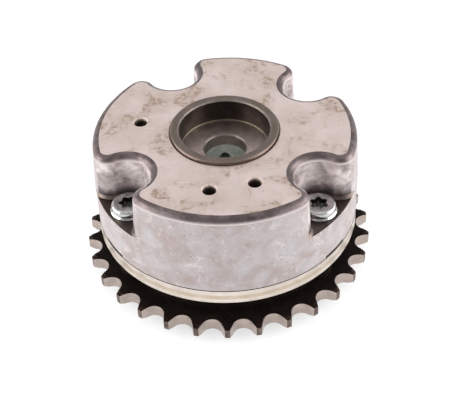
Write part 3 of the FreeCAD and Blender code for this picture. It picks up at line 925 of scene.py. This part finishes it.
    def bored(self, radius: float, at: Plan, low: float, chamfer: float, steps: int) -> Shape:
        """Builds the tool for a chamfered hole in the front face.

        Args:
            radius: Hole radius in millimetres.
            at: Radius and azimuth of its axis.
            low: Height of its bottom.
            chamfer: Chamfer in millimetres.
            steps: Number of edges round it.

        Returns:
            The tool.
        """
        z = self.face_z
        side = [(radius, low), (radius, z - chamfer), (radius + chamfer, z), (radius + chamfer, z + OVER)]
        return Bench.stepped(side, at, steps)

    def plain_hole(self, radius: float, at: Plan, low: float, high: float) -> Shape:
        """Builds the tool for a plain upright hole, sizes in millimetres."""
        return Bench.stepped([(radius, low), (radius, high)], at, self.plain_steps)

    def notch_tool(self, azimuth: float) -> Shape:
        """Builds the tool for the notch at the parting line below one scallop.

        Args:
            azimuth: Azimuth of the scallop in degrees.

        Returns:
            The tool.
        """
        near, far = self.wall - self.notch_depth, self.wall + OVER
        first, last = azimuth - self.notch_half, azimuth + self.notch_half
        moves = [(polar(far, first),), (polar(far, last), AXIS, True, self.notch_steps),
                 (polar(near, last),), (polar(near, first), AXIS, False, self.notch_steps)]
        return Bench.outline("notch", polar(near, first), moves, self.base_z - OVER,
                             self.base_z + self.notch_rise)

    def slot_tool(self, azimuth: float) -> Shape:
        """Builds the tool for one shoe's seal slot.

        Args:
            azimuth: Azimuth of the shoe in degrees.

        Returns:
            The tool.
        """
        near, far, half = self.shoe_tip - OVER, self.slot_end, self.slot_half
        corners = [shifted(p, azimuth) for p in ((near, -half), (far, -half), (far, half), (near, half))]
        moves = [(p,) for p in corners[1:] + corners[:1]]
        return Bench.outline("slot", corners[0], moves, self.base_z - OVER, self.ceiling_z)

    def holes(self) -> Shape:
        """Builds all the tools that stand clear of each other, as one.

        Returns:
            The joined tools.
        """
        below, through = self.base_z - OVER, self.ceiling_z - OVER
        blind_z = self.face_z - self.blind_depth
        tools = [self.bored(self.front_bore, AXIS, through, self.front_chamfer, BORE_STEPS),
                 self.bored(self.hole, self.vent, through, self.hole_chamfer, self.hole_steps)]
        tools += [self.bored(self.hole, at, blind_z, self.hole_chamfer, self.hole_steps)
                  for at in self.blind]
        tools.append(self.plain_hole(DOWEL_RADIUS, DOWEL_AT, below, self.base_z + self.dowel_rise))
        for azimuth in SCALLOPS:
            tools.append(self.plain_hole(self.bolt_hole, (BOLT_RING, azimuth), below,
                                         self.shelf_z + self.bolt_hole_over))
            tools.append(self.notch_tool(azimuth))
            tools.append(self.slot_tool(azimuth))
        return Bench.together(tools)

    def build(self) -> Shape:
        """Builds and dresses the housing.

        Returns:
            The finished piece.
        """
        shape = self.lobes()
        reach, above = self.wall + self.trim_spare, self.face_z + OVER
        trim = Bench.stepped([(reach, self.base_z), (reach, above)], AXIS, self.trim_steps)
        Bench.combine(shape, trim, Side.KEEP)
        start, moves = self.round_line()
        base = Bench.outline("base", start, moves, self.base_z, self.shelf_z)
        Bench.combine(shape, base, Side.ADD)
        Bench.combine(shape, self.chamber_tool(), Side.CUT)
        Bench.combine(shape, self.holes(), Side.CUT)
        Bench.weld(shape)
        dress(shape, self.materials, self.FINISHES, self.finish_of, ("edge",))
        Bench.smooth(shape, self.smooth_to)
        return shape

    def finish_of(self, place: Vector, normal: Vector) -> str:
        """Chooses the finish of one face.

        Args:
            place: Middle of the face in millimetres.
            normal: Its normal.

        Returns:
            The finish.
        """
        def beside(spots: Sequence[Plan], reach: float) -> bool:
            """Tells whether the face lies within reach of a spot."""
            return any(math.hypot(place.x - x / MM, place.y - y / MM) < reach for x, y in spots)

        radius = math.hypot(place.x, place.y)
        if place.z > self.face_z - NEAR:
            return "face"
        # Holes and the front bore take the chamfer finish, with its painted shade down the walls.
        by_hole = beside([polar(*at) for at in (self.vent,) + self.blind], self.hole + self.hole_chamfer)
        if radius < self.front_bore + self.front_chamfer or by_hole:
            return "chamfer"
        # On the round, faces leaning towards +Y keep the wall finish; the rest take the fillet finish with
        # its painted dark reflection and painted highlight.
        if place.z > self.face_z - self.fillet:
            return "wall" if normal.y > LEANING else "fillet"
        if self.shelf_z - NEAR < place.z < self.shelf_z + self.foot and normal.z > LEANING:
            return "shelf" if normal.z > LEVEL else "foot"
        # Faces inside the parting-line notches take the sprocket's black oxide: painted shade in the
        # notches, as the housing itself is aluminium.
        if place.z < self.base_z + self.notch_rise + NEAR and radius < self.wall - 2.0 * self.by_wall:
            return "oxide"
        in_pocket = place.z > self.shelf_z and beside(
            [polar(BOLT_RING, azimuth) for azimuth in SCALLOPS], self.pocket + self.draft + self.by_bolt)
        if (radius < self.chamber + self.by_wall and place.z < self.ceiling_z + 2.0 * self.by_wall
                and not in_pocket):
            return "inner"
        # Walls in the scallops take the pocket finish: painted light, with painted shade towards the shelf.
        return "wall" if radius > self.wall - self.draft - self.by_wall else "pocket"


@dataclass
class Sprocket:
    """Sprocket: teeth for a roller chain, necked waist, rim with a turned band, rear hub."""

    materials: Materials
    pitch: float = 9.525
    roller: float = 6.35
    teeth: int = 30
    seat_share: float = 0.505
    seat_open: float = 65.0
    seat_close: float = 45.0
    flank_share: float = 0.12
    flank_steps: int = 4
    seat_steps: int = 14
    tip: float = 46.5
    tooth_az: float = 87.8
    teeth_z: float = 2.5
    neck_z: float = 6.7
    band_z: float = 13.3
    plate_z: float = 18.6
    hub: float = 23.5
    hub_chamfer: float = 0.6
    neck: float = 37.7
    neck_round: float = 0.6
    band: float = 41.8
    lip: float = 0.4
    rim_edge: Plan = (0.35, 0.25)
    groove_drop: float = 2.7
    groove: Tuple[Plan, ...] = ((0.0, -0.8), (0.05, -0.4), (0.06, 0.3), (0.0, 0.7))
    bore: float = 15.5
    bore_chamfer: float = 0.7
    rear_groove: Tuple[Plan, ...] = (
        (26.0, -1.0), (31.0, -1.0), (31.0, 8.4), (30.5, 8.9), (26.5, 8.9), (26.0, 8.4))
    boss: float = 4.7
    boss_drop: float = 2.65
    lock: Plan = (30.5, PIN_AZIMUTH)
    lock_hole: float = 3.6
    lock_depth: float = 6.0
    lock_seat: float = 5.6
    lock_seat_depth: float = 4.5
    dowel_depth: float = 4.5
    thread: float = 3.0
    thread_depth: float = 10.4
    cone_rise: float = 0.3
    cone_over: float = 1.5
    bevel: float = 1.5
    tooth_round: float = 0.16
    round_over: float = 38.0
    smooth_to: float = 30.0
    rim_depth: float = 3.5
    land: float = 0.12
    # Width of the lighter band at the tooth tips: wear stains with a painted highlight.
    worn: float = 2.6
    tooth_depth: float = 4.6
    play: float = 0.05
    bore_reach: float = 0.8

    FINISHES: ClassVar[Tuple[str, ...]] = (
        "oxide", "tip", "gullet", "rim", "groove", "inner", "land", "seam", "lip")

    @property
    def web(self) -> float:
        """Height of the middle of the toothed disc."""
        return (self.teeth_z + self.neck_z) / 2.0

    def gap_points(self) -> Tuple[float, List[Plan]]:
        """Works out one tooth gap from pitch, roller and tooth count.

        Returns:
            The pitch radius and the flank as (radius, degrees from the gap's middle).
        """
        ring = self.pitch / (2.0 * math.sin(math.pi / self.teeth))
        seat = self.seat_share * self.roller
        half = math.radians(self.seat_open - self.seat_close / self.teeth)
        flank = self.flank_share * self.roller * (self.teeth + 2)
        centre = ((seat + flank) * math.sin(half), ring - (seat + flank) * math.cos(half))
        reach = math.hypot(*centre)
        spread = math.acos((reach ** 2 + flank ** 2 - self.tip ** 2) / (2.0 * reach * flank))
        first = math.pi / 2.0 + half
        last = math.atan2(-centre[1], -centre[0]) - spread + 2.0 * math.pi
        points = []
        for step in range(self.flank_steps + 1):
            angle = first + (last - first) * step / self.flank_steps
            x, y = centre[0] + flank * math.cos(angle), centre[1] + flank * math.sin(angle)
            points.append((math.hypot(x, y), math.degrees(math.atan2(x, y))))
        return ring, points

    def toothed_disc(self) -> Shape:
        """Builds the toothed disc: one gap drawn, repeated round the axis, extruded, bevelled.

        Returns:
            The disc.
        """
        ring, flank = self.gap_points()
        step = TURN / self.teeth
        gap = self.tooth_az + step / 2.0
        low = self.teeth_z * MM
        down = [polar(r, gap - a) for r, a in reversed(flank)]
        up = [polar(r, gap + a) for r, a in flank]
        Bench.point((*down[0], low))
        Bench.draw((*down[0], low), [(*p, low) for p in down[1:]])
        Bench.swing(down[-1], polar(ring, gap), up[0], False, low, self.seat_steps)
        Bench.draw((*up[0], low), [(*p, low) for p in up[1:]])
        land = [polar(self.tip, gap + step / 2.0), polar(self.tip, gap + step - flank[-1][1])]
        Bench.draw((*up[-1], low), [(*p, low) for p in land])
        bpy.ops.mesh.select_all(action="SELECT")
        bpy.ops.mesh.spin(steps=self.teeth - 1, dupli=True, angle=-math.radians(TURN - step),
                          center=(0.0, 0.0, low), axis=(0.0, 0.0, 1.0))
        bpy.ops.mesh.select_all(action="SELECT")
        bpy.ops.mesh.remove_doubles(threshold=WELD)
        bpy.ops.mesh.edge_face_add()
        rise = (self.neck_z - self.teeth_z) * MM
        bpy.ops.mesh.extrude_region_move(TRANSFORM_OT_translate={"value": (0.0, 0.0, rise)})
        shape = Bench.close("chain_sprocket")
        far, near = self.tip + self.cone_over, self.tip - self.bevel - OVER / self.cone_rise
        drop = (far - self.tip + self.bevel) * self.cone_rise
        low_z, high_z = self.teeth_z - OVER, self.neck_z + OVER
        cone = [(near, low_z), (far, self.teeth_z + drop), (far, self.neck_z - drop), (near, high_z)]
        Bench.combine(shape, Bench.stepped(cone, AXIS, RIM_STEPS), Side.KEEP)
        Bench.weld(shape)
        Bench.soften(shape, self.tooth_round, self.round_over)
        return shape

    def body(self) -> Shape:
        """Builds the hub, the waist and the rim with its turned groove.

        Returns:
            The turned body.
        """
        middle = self.plate_z - self.groove_drop
        side = [
            (self.hub - self.hub_chamfer, 0.0), (self.hub, self.hub_chamfer),
            (self.hub, self.web), (self.neck, self.web), (self.neck, self.band_z - self.neck_round),
            (self.neck + self.neck_round, self.band_z), (self.band - self.lip, self.band_z),
            (self.band, self.band_z + self.lip),
            *((self.band - inward, middle + upward) for inward, upward in self.groove),
            (self.band, self.plate_z - self.rim_edge[1]), (self.band - self.rim_edge[0], self.plate_z),
        ]
        return Bench.stepped(side, AXIS, RIM_STEPS)

    def cuts(self) -> Shape:
        """Builds the tools for the bores, the rear groove and the lock hole, as one.

        Returns:
            The joined tools.
        """
        above = self.plate_z + OVER
        seat_z = self.plate_z - self.lock_seat_depth
        bore = [(self.bore + (self.bore_chamfer + OVER), -OVER), (self.bore, self.bore_chamfer),
                (self.bore, above)]
        tools = [
            Bench.stepped(bore, AXIS, BORE_STEPS),
            Bench.turned("groove", self.rear_groove, BORE_STEPS),
            Bench.stepped([(self.lock_hole, self.plate_z - self.lock_depth), (self.lock_hole, seat_z),
                           (self.lock_seat, seat_z), (self.lock_seat, above)], self.lock),
            Bench.stepped([(DOWEL_RADIUS, self.plate_z - self.dowel_depth), (DOWEL_RADIUS, above)],
                          DOWEL_AT),
        ]
        for azimuth in SCALLOPS:
            thread = [(self.thread, self.plate_z - self.thread_depth), (self.thread, above)]
            tools.append(Bench.stepped(thread, (BOLT_RING, azimuth)))
        return Bench.together(tools)

    def build(self) -> Shape:
        """Builds and dresses the sprocket.

        Returns:
            The finished piece.
        """
        shape = self.toothed_disc()
        Bench.combine(shape, self.body(), Side.ADD)
        boss_top = self.plate_z - self.boss_drop
        bosses = [Bench.stepped([(self.boss, self.web), (self.boss, boss_top)], (BOLT_RING, azimuth))
                  for azimuth in SCALLOPS]
        Bench.combine(shape, Bench.together(bosses), Side.ADD)
        Bench.combine(shape, self.cuts(), Side.CUT)
        Bench.weld(shape)
        dress(shape, self.materials, self.FINISHES, self.finish_of)
        Bench.smooth(shape, self.smooth_to)
        return shape

    def finish_of(self, place: Vector, normal: Vector) -> str:
        """Chooses the finish of one face.

        Args:
            place: Middle of the face in millimetres.
            normal: Its normal.

        Returns:
            The finish.
        """
        radius = math.hypot(place.x, place.y)
        if place.z > self.band_z + self.play and radius > self.neck + self.rim_depth:
            # Upward faces of the rim top: the dark joint at the parting line and painted shade inside the
            # notches.
            if normal.z > LEANING:
                return "seam"
            # The band's lower chamfer takes the lip finish, a painted highlight.
            if place.z < self.band_z + self.lip:
                return "lip"
            in_groove = abs(place.z - self.plate_z + self.groove_drop) < -self.groove[0][1]
            return "groove" if in_groove and radius < self.band - NEAR / 2.0 else "rim"
        if radius > self.tip - self.land:
            return "land"
        if radius > self.tip - self.tooth_depth and place.z < self.neck_z + 2.0 * self.play:
            if abs(normal.z) < STEEP:
                return "gullet"
            # Tooth tops near the tips take the tip finish: wear stains with a painted highlight.
            return "tip" if radius > self.tip - self.worn else "oxide"
        return "inner" if radius < self.bore + self.bore_reach and abs(normal.z) < LEVEL else "oxide"


@dataclass
class FrontBushing:
    """Steel cup in the middle of the front face."""

    materials: Materials
    outer: float = 16.8
    bore: float = 14.1
    hole: float = 6.5
    floor_rise: float = 4.0
    rim_chamfer: float = 0.3
    rim_round: float = 0.09
    bore_chamfer: float = 0.5
    bore_round: Plan = (0.16, 0.18)
    hole_chamfer: float = 0.4
    foot: float = 0.5
    foot_steps: int = 6
    smooth_to: float = 24.0
    play: float = 0.05
    wall_part: float = 1.0
    chamfered: Plan = (0.1, 0.95)
    rounded: Plan = (0.05, 0.99)

    FINISHES: ClassVar[Tuple[str, ...]] = ("collar", "recess", "floor", "shine", "painted_corner_highlight")

    def __post_init__(self) -> None:
        """Reads the levels from the frame."""
        low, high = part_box("front_bushing")
        self.base_z, self.top_z = low.z / MM, high.z / MM
        self.floor_z = self.base_z + self.floor_rise

    def build(self) -> Shape:
        """Builds and dresses the cup.

        Returns:
            The finished piece.
        """
        base, top, floor = self.base_z, self.top_z, self.floor_z
        angles = [math.radians(90.0 / self.foot_steps * k) for k in range(1, self.foot_steps + 1)]
        foot = self.foot
        bend = [(self.bore - foot + foot * math.cos(a), floor + foot - foot * math.sin(a)) for a in angles]
        profile = [
            (self.hole, base), (self.outer - self.rim_chamfer, base),
            (self.outer, base + self.rim_chamfer), (self.outer, top - self.rim_chamfer),
            (self.outer - self.rim_round, top - self.rim_round), (self.outer - self.rim_chamfer, top),
            (self.bore + self.bore_chamfer, top),
            (self.bore + self.bore_round[0], top - self.bore_round[1]),
            (self.bore, top - self.bore_chamfer), (self.bore, floor + self.foot), *bend,
            (self.hole + self.hole_chamfer, floor), (self.hole, floor - self.hole_chamfer),
        ]
        shape = Bench.turned("front_cup", profile, BORE_STEPS)
        dress(shape, self.materials, self.FINISHES, self.finish_of)
        Bench.smooth(shape, self.smooth_to)
        return shape

    def finish_of(self, place: Vector, normal: Vector) -> str:
        """Chooses the finish of one face.

        Args:
            place: Middle of the face in millimetres.
            normal: Its normal.

        Returns:
            The finish.
        """
        radius = math.hypot(place.x, place.y)
        leans = self.chamfered[0] < normal.z < self.chamfered[1]
        # Chamfers at the cup's top take the shine finish, a painted highlight.
        if place.z > self.top_z - self.bore_chamfer - self.play and leans:
            return "shine"
        if place.z > self.top_z - NEAR or radius > self.bore + self.wall_part:
            return "collar"
        # The round at the foot of the bore takes a painted highlight; the hole chamfer takes the shine
        # finish.
        if place.z < self.floor_z + self.foot and self.rounded[0] < normal.z < self.rounded[1]:
            return "painted_corner_highlight" if radius > self.bore - self.foot else "shine"
        # Floor and centre hole take the floor finish, a painted reflection; the bore wall takes the recess
        # finish, a painted shade.
        return "floor" if normal.z > LEVEL or radius < self.hole + self.play else "recess"


@dataclass
class HousingBolt:
    """Flanged bolt with a six-lobe recess, made once and copied to each scallop."""

    materials: Materials
    turns: Tuple[float, ...] = (0.0, 30.0, 12.0, 41.0)
    shank: float = 3.0
    shank_chamfer: float = 0.6
    flange: float = 5.6
    flange_edge: Tuple[Plan, ...] = ((0.1, 0.0), (0.0, 0.12), (0.0, 0.55), (0.12, 0.74))
    head: float = 5.15
    head_foot: Tuple[Plan, ...] = ((-0.12, 0.9), (0.0, 1.04))
    head_rise: float = 3.0
    crown: Tuple[Plan, ...] = ((0.0, 0.75), (0.12, 0.42), (0.38, 0.14), (0.75, 0.02), (1.0, 0.0))
    head_round: float = 0.14
    lobes: int = 6
    lobe: float = 0.72
    lobe_ring: float = 2.12
    waist: float = 0.829
    waist_ring: float = 2.965
    recess_depth: float = 2.1
    recess_edge: float = 0.02
    steps: int = 72
    lobe_steps: int = 10
    waist_steps: int = 8
    round_over: float = 60.0
    smooth_to: float = 28.0

    FINISHES: ClassVar[Tuple[str, ...]] = ("zinc", "socket")

    def __post_init__(self) -> None:
        """Reads the levels from the frame."""
        low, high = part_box("housing_bolt_1")
        self.end_z, self.top_z = low.z / MM, high.z / MM
        self.seat_z = self.top_z - self.head_rise

    def star(self) -> Shape:
        """Builds the tool for the six-lobe recess.

        Returns:
            The tool.
        """
        share = self.lobe / (self.lobe + self.waist)
        pitch = TURN / self.lobes
        moves: List[Tuple] = []

        def touch(lobe_az: float, waist_az: float) -> Plan:
            """Returns where a lobe's arc meets a waist's."""
            first, second = polar(self.lobe_ring, lobe_az), polar(self.waist_ring, waist_az)
            return tuple(a + (b - a) * share for a, b in zip(first, second))

        for k in range(self.lobes):
            lobe, waist = pitch * k, pitch * k + pitch / 2.0
            moves += [
                (touch(lobe, waist), polar(self.lobe_ring, lobe), True, self.lobe_steps),
                (touch(lobe + pitch, waist), polar(self.waist_ring, waist), False,
                 self.waist_steps),
            ]
        return Bench.outline("star", touch(0.0, -pitch / 2.0), moves, self.top_z - self.recess_depth,
                             self.top_z + OVER)

    def blank(self) -> Shape:
        """Turns the bolt without its recess.

        Returns:
            The turned bolt, on the axis.
        """
        end, seat, top = self.end_z, self.seat_z, self.top_z
        side = [
            (self.shank - self.shank_chamfer, end), (self.shank, end + self.shank_chamfer),
            (self.shank, seat),
            *((self.flange - inward, seat + upward) for inward, upward in self.flange_edge),
            *((self.head - inward, seat + upward) for inward, upward in self.head_foot),
            *((self.head - inward, top - below) for inward, below in self.crown),
        ]
        return Bench.stepped(side, AXIS, self.steps)

    def build(self) -> List[Shape]:
        """Builds, dresses and copies the bolt.

        Returns:
            The four bolts.
        """
        first = self.blank()
        Bench.combine(first, self.star(), Side.CUT)
        Bench.weld(first)
        Bench.soften(first, self.head_round, self.round_over)
        dress(first, self.materials, self.FINISHES, self.finish_of)
        Bench.smooth(first, self.smooth_to)
        bolts = []
        for k, (azimuth, turn) in enumerate(zip(SCALLOPS, self.turns), 1):
            Bench.choose(first)
            bpy.ops.object.duplicate(linked=False)
            bolt = bpy.context.object
            bolt.name = bolt.data.name = "bolt_%d" % k
            bolt.rotation_euler = (0.0, 0.0, math.radians(turn))
            bolt.location = (*polar(BOLT_RING, azimuth), 0.0)
            bpy.ops.object.transform_apply(location=True, rotation=True, scale=True)
            bolts.append(bolt)
        bpy.data.objects.remove(first)
        return bolts

    def finish_of(self, place: Vector, normal: Vector) -> str:
        """Chooses the finish of one face: the walls of the recess are darker, a painted shade.

        Args:
            place: Middle of the face in millimetres.
            normal: Its normal.

        Returns:
            The finish.
        """
        inside = math.hypot(place.x, place.y) < self.lobe_ring + self.lobe and place.z > self.seat_z
        steep = place.z < self.top_z - self.recess_edge and normal.z < LEVEL
        return "socket" if inside and steep else "zinc"


@dataclass
class InnerParts:
    """The CAD nodes that stay as they are and only get a finish, by a part of their names."""

    materials: Materials
    finishes: Tuple[Tuple[str, str], ...] = (
        ("vane_rotor", "rotor"), ("_seal_", "resin"), ("_leaf_", "steel"), ("lock_", "steel"),
        ("housing_dowel", "steel"))

    def dress(self, nodes: Dict[str, Shape]) -> None:
        """Gives each node its material.

        Args:
            nodes: CAD nodes by name.
        """
        for name, node in nodes.items():
            for part, finish in self.finishes:
                if part in name:
                    for place in node.material_slots:
                        place.material = self.materials[finish]
                    LOG.info("dressed %s in %s", name, finish)


@dataclass
class Studio:
    """White floor and sky, two large soft lamps and the camera."""

    focus: float = 1074.0
    width: int = 449
    clip: float = 20.0
    sensor: float = 36.0
    elevation: float = 41.88
    roll: float = -2.53
    place: Tuple[float, float, float] = (-0.93, -261.4, 252.1)
    sky: float = 0.80
    shade: float = 0.45
    shade_at: Tuple[float, float, float] = (0.0, -0.62, 0.78)
    shade_span: Plan = (0.72, 0.97)
    lamp_at: Tuple[float, float, float] = (0.85, -0.05, 0.26)
    lamp_aim: Tuple[float, float, float] = (0.0, 0.0, 0.03)
    lamp_size: float = 0.9
    lamp_watts: float = 11.0
    floor_size: float = 6.0
    floor_z: float = -0.0002
    floor_grey: float = 0.42
    floor_glow: float = 0.66

    def camera(self) -> None:
        """Sets the camera at the photograph's angle."""
        data = bpy.data.cameras.new("camera")
        data.sensor_width = self.sensor
        data.lens = self.focus * data.sensor_width / self.width
        data.clip_end = self.clip
        shape = bpy.data.objects.new("camera", data)
        bpy.context.collection.objects.link(shape)
        tilt, roll = math.radians(self.elevation), math.radians(self.roll)
        lift = Vector((0.0, math.sin(tilt), math.cos(tilt)))
        across = Vector((1.0, 0.0, 0.0))
        right = across * math.cos(roll) + lift * math.sin(roll)
        upward = lift * math.cos(roll) - across * math.sin(roll)
        turn = Matrix((right, upward, right.cross(upward))).transposed().to_4x4()
        shape.matrix_world = Matrix.Translation(Vector(self.place) * MM) @ turn
        bpy.context.scene.camera = shape

    def world(self) -> None:
        """Lights the object from a white sky with a darker zone in front and above."""
        sky = bpy.data.worlds.new("sky")
        bpy.context.scene.world = sky
        graph = Graph(sky)
        toward = graph.add("ShaderNodeVectorMath", operation="DOT_PRODUCT")
        graph.wire(graph.coordinates.outputs["Generated"], toward.inputs[0])
        toward.inputs[1].default_value = Vector(self.shade_at).normalized()
        zone = graph.span(toward.outputs["Value"], *self.shade_span, 1.0, self.shade)
        seen = graph.add("ShaderNodeLightPath").outputs["Is Camera Ray"]
        pick = graph.add("ShaderNodeMix")
        graph.wire(seen, pick.inputs[0])
        graph.wire(graph.calc("MULTIPLY", zone, self.sky), pick.inputs[2])
        graph.wire(1.0, pick.inputs[3])
        glow = graph.add("ShaderNodeBackground")
        glow.inputs["Color"].default_value = (1.0, 1.0, 1.0, 1.0)
        graph.wire(pick.outputs[0], glow.inputs["Strength"])
        graph.wire(glow.outputs[0], graph.add("ShaderNodeOutputWorld").inputs["Surface"])

    def lamp(self, name: str, side: float) -> None:
        """Adds a large soft lamp that looks at the object.

        Args:
            name: Name of the lamp.
            side: -1 for the left, 1 for the right.
        """
        data = bpy.data.lights.new(name, "AREA")
        data.size = self.lamp_size
        data.energy = self.lamp_watts
        shape = bpy.data.objects.new(name, data)
        bpy.context.collection.objects.link(shape)
        shape.location = at = (side * self.lamp_at[0], *self.lamp_at[1:])
        aim = Vector(self.lamp_aim) - Vector(at)
        shape.rotation_euler = aim.to_track_quat("-Z", "Y").to_euler()

    def floor(self) -> None:
        """Lays the white floor, which keeps a faint shadow."""
        bpy.ops.object.select_all(action="DESELECT")
        bpy.ops.mesh.primitive_plane_add(size=self.floor_size, location=(0.0, 0.0, self.floor_z))
        plane = bpy.context.object
        plane.name = "floor"
        graph = Graph(bpy.data.materials.new("floor_white"))
        matt = graph.add("ShaderNodeBsdfDiffuse")
        matt.inputs["Color"].default_value = (self.floor_grey, self.floor_grey, self.floor_grey, 1.0)
        glow = graph.add("ShaderNodeEmission")
        glow.inputs["Strength"].default_value = self.floor_glow
        both = graph.add("ShaderNodeAddShader")
        graph.wire(matt.outputs[0], both.inputs[0])
        graph.wire(glow.outputs[0], both.inputs[1])
        graph.wire(both.outputs[0], graph.add("ShaderNodeOutputMaterial").inputs["Surface"])
        plane.data.materials.append(graph.owner)

    def build(self) -> None:
        """Builds the whole studio."""
        bpy.context.scene.view_settings.view_transform = "Standard"
        self.camera()
        self.world()
        self.floor()
        self.lamp("lamp_left", -1.0)
        self.lamp("lamp_right", 1.0)


def place_piece(piece: Shape, body: str, node: str) -> None:
    """Hangs a piece on the empty of the body it rides on and hides the CAD node it stands for.

    Args:
        piece: Finished piece.
        body: Body it rides on.
        node: CAD node it replaces.
    """
    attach(piece, body)
    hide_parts(node)
    LOG.info("%s: %d faces, rides on %s", piece.name, len(piece.data.polygons), body)


def main() -> None:
    """Builds the finishes, the pieces and the studio in order."""
    logging.basicConfig(level=logging.INFO, format="%(name)s: %(message)s")
    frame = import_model()
    bpy.context.view_layer.update()
    materials = {key: finish.build() for key, finish in FINISHES.items()}
    place_piece(Housing(materials).build(), "housing_side", "housing")
    place_piece(Sprocket(materials).build(), "housing_side", "sprocket")
    place_piece(FrontBushing(materials).build(), "rotor_side", "front_bushing")
    for k, bolt in enumerate(HousingBolt(materials).build(), 1):
        place_piece(bolt, "housing_side", "housing_bolt_%d" % k)
    InnerParts(materials).dress(frame["nodes"])
    Studio().build()
    bpy.context.view_layer.update()


if __name__ == "__main__":
    main()
